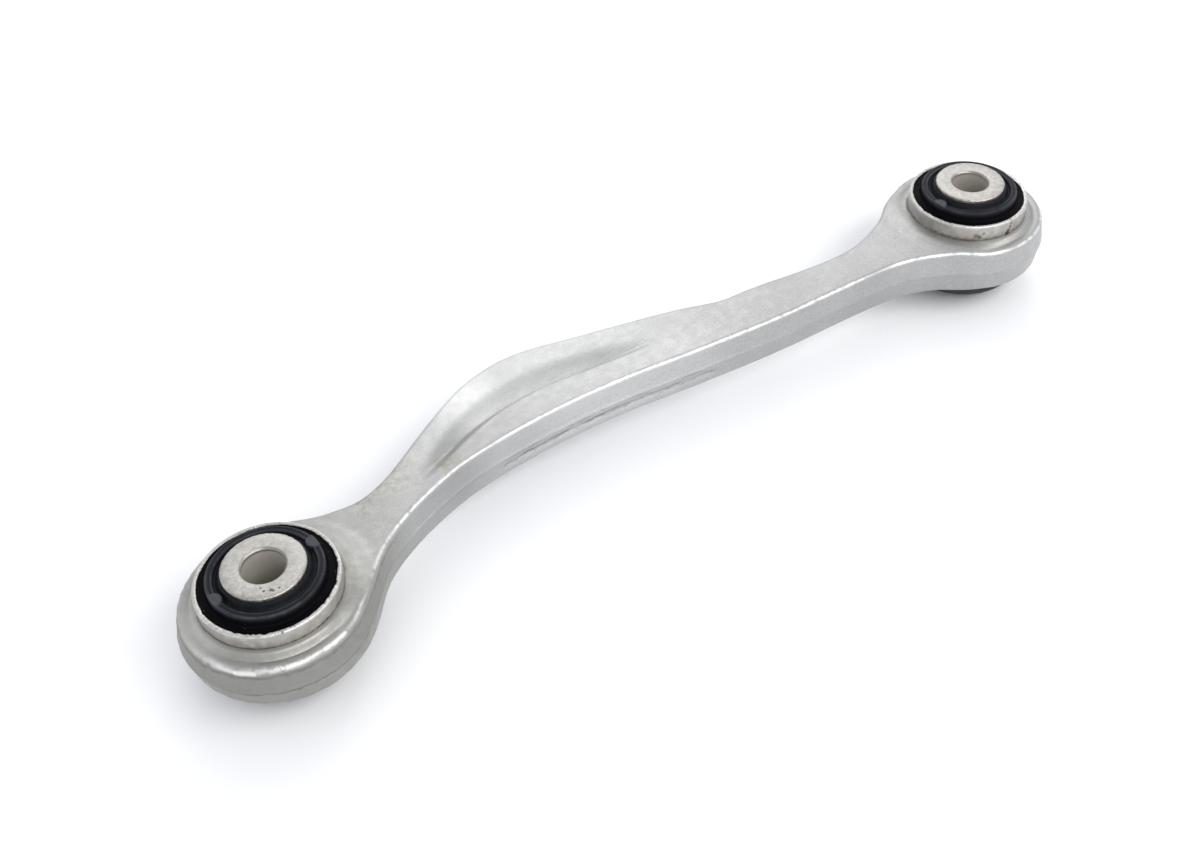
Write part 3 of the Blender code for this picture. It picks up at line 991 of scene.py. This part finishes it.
def paint_marks(f, level, patch, worn_and_lit, matt_and_shaded):
    """Stains, edges with abrasion and painted highlight, patches of painted light and painted shade, one
    of them also matt, and scratches, two of which are a painted highlight on the inboard eye's crease.
    """
    for x, y, reach in STAINS:
        f.paint("stain", f.times(f.near(on_arm(x, y, 7), reach * MM), f.ramp(patch, 0.40, 0.62)))
    # Abrasion with painted highlight: the rounded edges lighter where the light catches them, on the front
    f.paint("abraded and lit edge", worn_and_lit)
    # Painted light on the upper rounding of the inboard eye's outer end
    f.paint("lit shoulder", f.times(f.zone("lit shoulder"), f.ramp(level, 6.2 * MM, 7.2 * MM)))
    # Painted shade at the near end of the pocket
    f.paint("pocket end shade", f.times(f.zone("pocket end shade"), f.ramp(f.level(), 8.05 * MM, 7.3 * MM)))
    # Painted shade on the front of the arm's middle
    f.paint("middle shade", f.zone("middle shade"))
    # Painted light on the back of the arm's middle
    f.paint("lit flange", f.zone("lit flange"))
    # Painted shade on a matt patch at the inboard neck's front edge, damping its highlight
    f.paint("matt shaded patch", matt_and_shaded)
    # Scratches; the last two are a painted highlight on the inboard eye's crease
    for start, end, width, tone in SCRATCHES_AND_HIGHLIGHTS:
        mark = f.scratch(on_arm(*start), on_arm(*end), width * MM)
        f.blend(f.times(mark, SCRATCH_AND_HIGHLIGHT_SHARE), (tone, tone, tone * 0.95))


def aluminium():
    f = Finish("forged_aluminium_skin", ARM_TONES)
    mottle = f.noise(3.2 * MM, 5, 0.65)
    grain = f.noise(0.5 * MM, 3, 0.75)
    patch = f.noise(2.5 * MM, 4, 0.7)
    streak = f.noise(1.2 * MM, 4, 0.65, f.stretched(0.12, 1.0))
    level = f.math("ADD", f.level(), f.ramp(mottle, 0.3, 0.7, -0.35 * MM, 0.35 * MM))
    worn_and_lit = f.times(f.attribute("worn_and_lit"), f.ramp(patch, 0.36, 0.56, 0.1, 1.0))
    matt_and_shaded = f.times(f.zone("matt shaded patch"), f.ramp(mottle, 0.35, 0.65, 0.45, 1.0))
    paint_bare_metal_and_light(f, mottle, grain)
    paint_dirt_and_shade(f, level, mottle, patch, streak)
    paint_lines(f, level, patch, streak)
    paint_marks(f, level, patch, worn_and_lit, matt_and_shaded)
    rough = f.math("ADD", f.ramp(mottle, 0.3, 0.7, 0.44, 0.54), f.times(worn_and_lit, -0.10))
    rough = f.math("ADD", rough, f.times(matt_and_shaded, 0.1))
    normal = f.bump(grain, 0.045 * MM, 0.6, f.bump(mottle, 0.09 * MM, 0.45))
    return f.finish(Metallic=0.9, Roughness=rough, Normal=normal)


def ring_steel():
    f = Finish("sleeve_steel_skin", RING_TONES)
    mottle = f.noise(2.4 * MM, 5, 0.65)
    streak = f.noise(0.5 * MM, 4, 0.7)
    height = f.math("ABSOLUTE", f.level())
    f.paint("mottle", f.ramp(mottle, 0.35, 0.7))
    wall = f.ramp(height, RING_HALF - 0.2 * MM, RING_HALF - 1.4 * MM)
    f.paint("wall tint", f.times(wall, f.ramp(f.noise(6 * MM, 3), 0.35, 0.65)))
    f.paint("streak", f.ramp(streak, 0.60, 0.72))
    rubbed_and_lit = f.ramp(f.noise(0.8 * MM, 3, 0.7), 0.45, 0.6, 0.1, 0.8)
    rubbed_and_lit = f.times(f.ramp(height, RING_HALF - 0.8 * MM, RING_HALF - 0.1 * MM), rubbed_and_lit)
    middle = CENTRE["inboard"].y
    # Abrasion with painted highlight: the rings' rough ends lighter, most on the front
    f.paint("cut end abrasion and highlight", f.times(rubbed_and_lit, f.ramp(f.axis("Y"), middle + 12 * MM, middle - 4 * MM, 0.25, 1.0)))
    # Painted shade in shut-in corners, tinted brown
    f.paint("corner shade", f.ramp(f.openness(1.5 * MM), 0.75, 0.25))
    # Painted shadow: the ring's lower half nearly black where the arm and the floor shut it in
    below = f.ramp(f.level(), -2 * MM, -6 * MM)
    f.paint("underside", f.times(below, f.ramp(f.openness(16 * MM), 0.96, 0.74)))
    # Dirt specks with painted shade at the foot of the rings
    f.paint("ring foot dirt and shade", ring_foot_dirt_and_shade(f, height, mottle))
    for end, angle, z, reach, share in RING_MARKS:
        place = on_bush(end, angle, RING_RADIUS, z * MM)
        f.paint("mark", f.times(f.near(place, reach * MM, 0.6), share))
    rough = f.ramp(mottle, 0.3, 0.7, 0.36, 0.54)
    normal = f.bump(streak, 0.05 * MM, 0.7, f.bump(mottle, 0.1 * MM, 0.5))
    return f.finish(Metallic=0.95, Roughness=rough, Normal=normal)


def ring_foot_dirt_and_shade(f, height, mottle):
    """Dirt specks all round the foot of the rings, and on the outboard one a line of dirt with painted
    shade.
    """
    specks = f.times(f.ramp(height, 10.9 * MM, 10.1 * MM), f.ramp(f.noise(1.1 * MM, 3, 0.7), 0.45, 0.62))
    line = f.times(f.zone("outboard foot"), f.ramp(height, 10.3 * MM, 9.9 * MM))
    return f.math("MAXIMUM", specks, f.times(line, f.ramp(mottle, 0.35, 0.6, 0.4, 1.0)))


def face_steel():
    f = Finish("inner_sleeve_steel_skin", FACE_TONES)
    mottle = f.noise(2.0 * MM, 5, 0.7)
    pits = f.noise(0.45 * MM, 4, 0.75)
    tint = f.noise(3.5 * MM, 4, 0.6)
    height = f.math("ABSOLUTE", f.level())
    radius = f.from_axis()
    f.paint("mottle", f.ramp(mottle, 0.36, 0.66))
    f.paint("tint", f.ramp(tint, 0.55, 0.68))
    outer_rim = f.ramp(radius, INNER_RADIUS - 1.4 * MM, INNER_RADIUS)
    rim = f.math("MAXIMUM", outer_rim, f.ramp(radius, BOLT_BORE + 1.1 * MM, BOLT_BORE + 0.3 * MM))
    f.paint("rim tint", f.times(rim, f.ramp(tint, 0.4, 0.6)))
    f.paint("speck", f.ramp(f.math("ADD", pits, f.times(rim, 0.07)), 0.56, 0.66))
    for angle, place, reach in FACE_PITS:
        f.paint("pit", f.near(on_bush("inboard", angle, place * MM, INNER_HALF), reach * MM, 0.5))
    # Painted shade on the bore's chamfer, damping its shine
    f.paint("bore edge shade", f.ramp(radius, BOLT_BORE + 0.65 * MM, BOLT_BORE + 0.45 * MM))
    # Painted light: the inside of the bore lighter and less metallic, so that it shows lit
    deep = f.ramp(height, INNER_HALF - 0.3 * MM, INNER_HALF - 1.8 * MM)
    lit_bore = f.times(deep, f.ramp(radius, BOLT_BORE + 0.5 * MM, BOLT_BORE + 0.2 * MM))
    f.paint("bore", lit_bore)
    side = f.ramp(radius, INNER_RADIUS - 0.25 * MM, INNER_RADIUS - 0.05 * MM)
    f.paint("side", f.times(side, f.ramp(height, INNER_HALF - 0.1 * MM, INNER_HALF - 0.4 * MM)))
    metal = f.ramp(lit_bore, 0.0, 1.0, 0.9, 0.25)
    rough = f.ramp(mottle, 0.3, 0.7, 0.34, 0.52)
    return f.finish(Metallic=metal, Roughness=rough, Normal=f.bump(pits, 0.04 * MM, 0.6))


def rubber():
    f = Finish("bush_rubber_skin", RUBBER_TONES)
    cloud = f.noise(2.5 * MM, 4, 0.65)
    grain = f.noise(0.25 * MM, 3, 0.7)
    radius = f.attribute("radius")
    rubbed_and_lit = f.times(f.ramp(cloud, 0.3, 0.65, 0.4, 1.0), f.ramp(f.noise(9 * MM, 2), 0.35, 0.6, 0.3, 1.0))
    f.paint("cloud", f.ramp(cloud, 0.3, 0.7))
    # Dust with painted sheen: the bead a little lighter
    from_bead = f.math("ABSOLUTE", f.math("SUBTRACT", radius, BEAD_PLACE))
    bead = f.ramp(from_bead, 1.35 * MM, 1.05 * MM)
    f.paint("bead", f.times(bead, rubbed_and_lit))
    # Painted highlights along the bead's rims
    inner_rim = f.band(radius, BEAD_PLACE - 0.8 * MM, 0.45 * MM)
    rims = f.math("MAXIMUM", inner_rim, f.band(radius, BEAD_PLACE + 0.75 * MM, 0.5 * MM))
    f.paint("bead edge highlights", f.times(rims, rubbed_and_lit))
    # Painted sheen on the tops of the gate nubs
    nub = f.times(f.attribute("nub"), f.ramp(radius, 16.9 * MM, 16.5 * MM))
    f.paint("nub", f.times(nub, f.ramp(cloud, 0.3, 0.65, 0.6, 1.0)))
    # Painted shade in the hollow outside the bead, with less shine
    recess_shade = f.ramp(radius, 16.45 * MM, 16.8 * MM)
    f.paint("recess_shade", recess_shade)
    f.paint("dust", f.ramp(f.noise(0.9 * MM, 2, 0.5), 0.74, 0.78))
    rough = f.ramp(cloud, 0.3, 0.7, 0.40, 0.56)
    shine = f.math("ADD", f.ramp(recess_shade, 0.0, 1.0, 0.13, 0.04), f.times(bead, 0.04))
    normal = f.bump(grain, 0.03 * MM, 0.5, f.bump(cloud, 0.08 * MM, 0.4))
    return f.finish(Roughness=rough, Normal=normal, Specular_IOR_Level=shine)


def pale_floor():
    f = Finish("pale_floor", FLOOR_TONES)
    f.paint("cloud", f.ramp(f.noise(0.08, 3), 0.3, 0.7))
    return f.finish(Roughness=0.6)


# ---------------------------------------------------------------- floor, light and camera

def make_floor():
    corners = [(x * FLOOR_HALF, y * FLOOR_HALF, 0) for x, y in ((-1, -1), (1, -1), (1, 1), (-1, 1))]
    mesh = bpy.data.meshes.new("floor")
    mesh.from_pydata(corners, [], [(0, 1, 2, 3)])
    add_object("floor", mesh, pale_floor())


def make_light(name, place, size, power):
    light = bpy.data.lights.new(name, "AREA")
    light.shape = "RECTANGLE"
    light.size, light.size_y = size
    light.energy = power
    light.color = SOFTBOX_COLOUR
    obj = bpy.data.objects.new(name, light)
    obj.location = place
    direction = Vector(place) - CAMERA_TARGET
    obj.rotation_euler = direction.to_track_quat("Z", "Y").to_euler()
    bpy.context.scene.collection.objects.link(obj)


def make_world():
    """A pale sky, bluer at the horizon and dimmer overhead."""
    world = bpy.data.worlds.new("studio")
    world.use_nodes = True
    nodes, links = world.node_tree.nodes, world.node_tree.links
    place = nodes.new("ShaderNodeTexCoord").outputs["Generated"]
    split = nodes.new("ShaderNodeSeparateXYZ")
    links.new(place, split.inputs[0])
    ramp = nodes.new("ShaderNodeValToRGB")
    stops = ramp.color_ramp.elements
    for position, colour in SKY[2:]:
        stops.new(position)
    for stop, (position, colour) in zip(stops, SKY):
        stop.position = position
        stop.color = (*colour, 1.0)
    links.new(split.outputs["Z"], ramp.inputs[0])
    links.new(ramp.outputs[0], nodes["Background"].inputs["Color"])
    nodes["Background"].inputs["Strength"].default_value = SKY_STRENGTH
    bpy.context.scene.world = world


def make_camera():
    camera = bpy.data.cameras.new("camera")
    camera.lens = CAMERA_LENS
    camera.clip_start = CAMERA_CLIP
    obj = bpy.data.objects.new("camera", camera)
    tilt = Matrix.Rotation(math.pi / 2 - CAMERA_ELEVATION, 4, "X")
    turn = Matrix.Rotation(CAMERA_AZIMUTH, 4, "Z") @ tilt @ Matrix.Rotation(CAMERA_ROLL, 4, "Z")
    away = turn.to_3x3() @ Vector((0, 0, CAMERA_DISTANCE))
    obj.matrix_world = Matrix.Translation(CAMERA_TARGET + away) @ turn
    bpy.context.scene.collection.objects.link(obj)
    bpy.context.scene.camera = obj


def main():
    bpy.context.scene.view_settings.view_transform = "Standard"
    make_camera()
    make_world()
    make_floor()
    for softbox in SOFTBOXES:
        make_light(*softbox)
    make_forging(aluminium())
    ring, face, black = ring_steel(), face_steel(), rubber()
    for seed, end in enumerate(ENDS):
        make_outer_sleeve(end, ring, seed)
        make_rubber(end, black)
        make_inner_sleeve(end, face, seed + 0.5)


main()
bpy.context.view_layer.update()
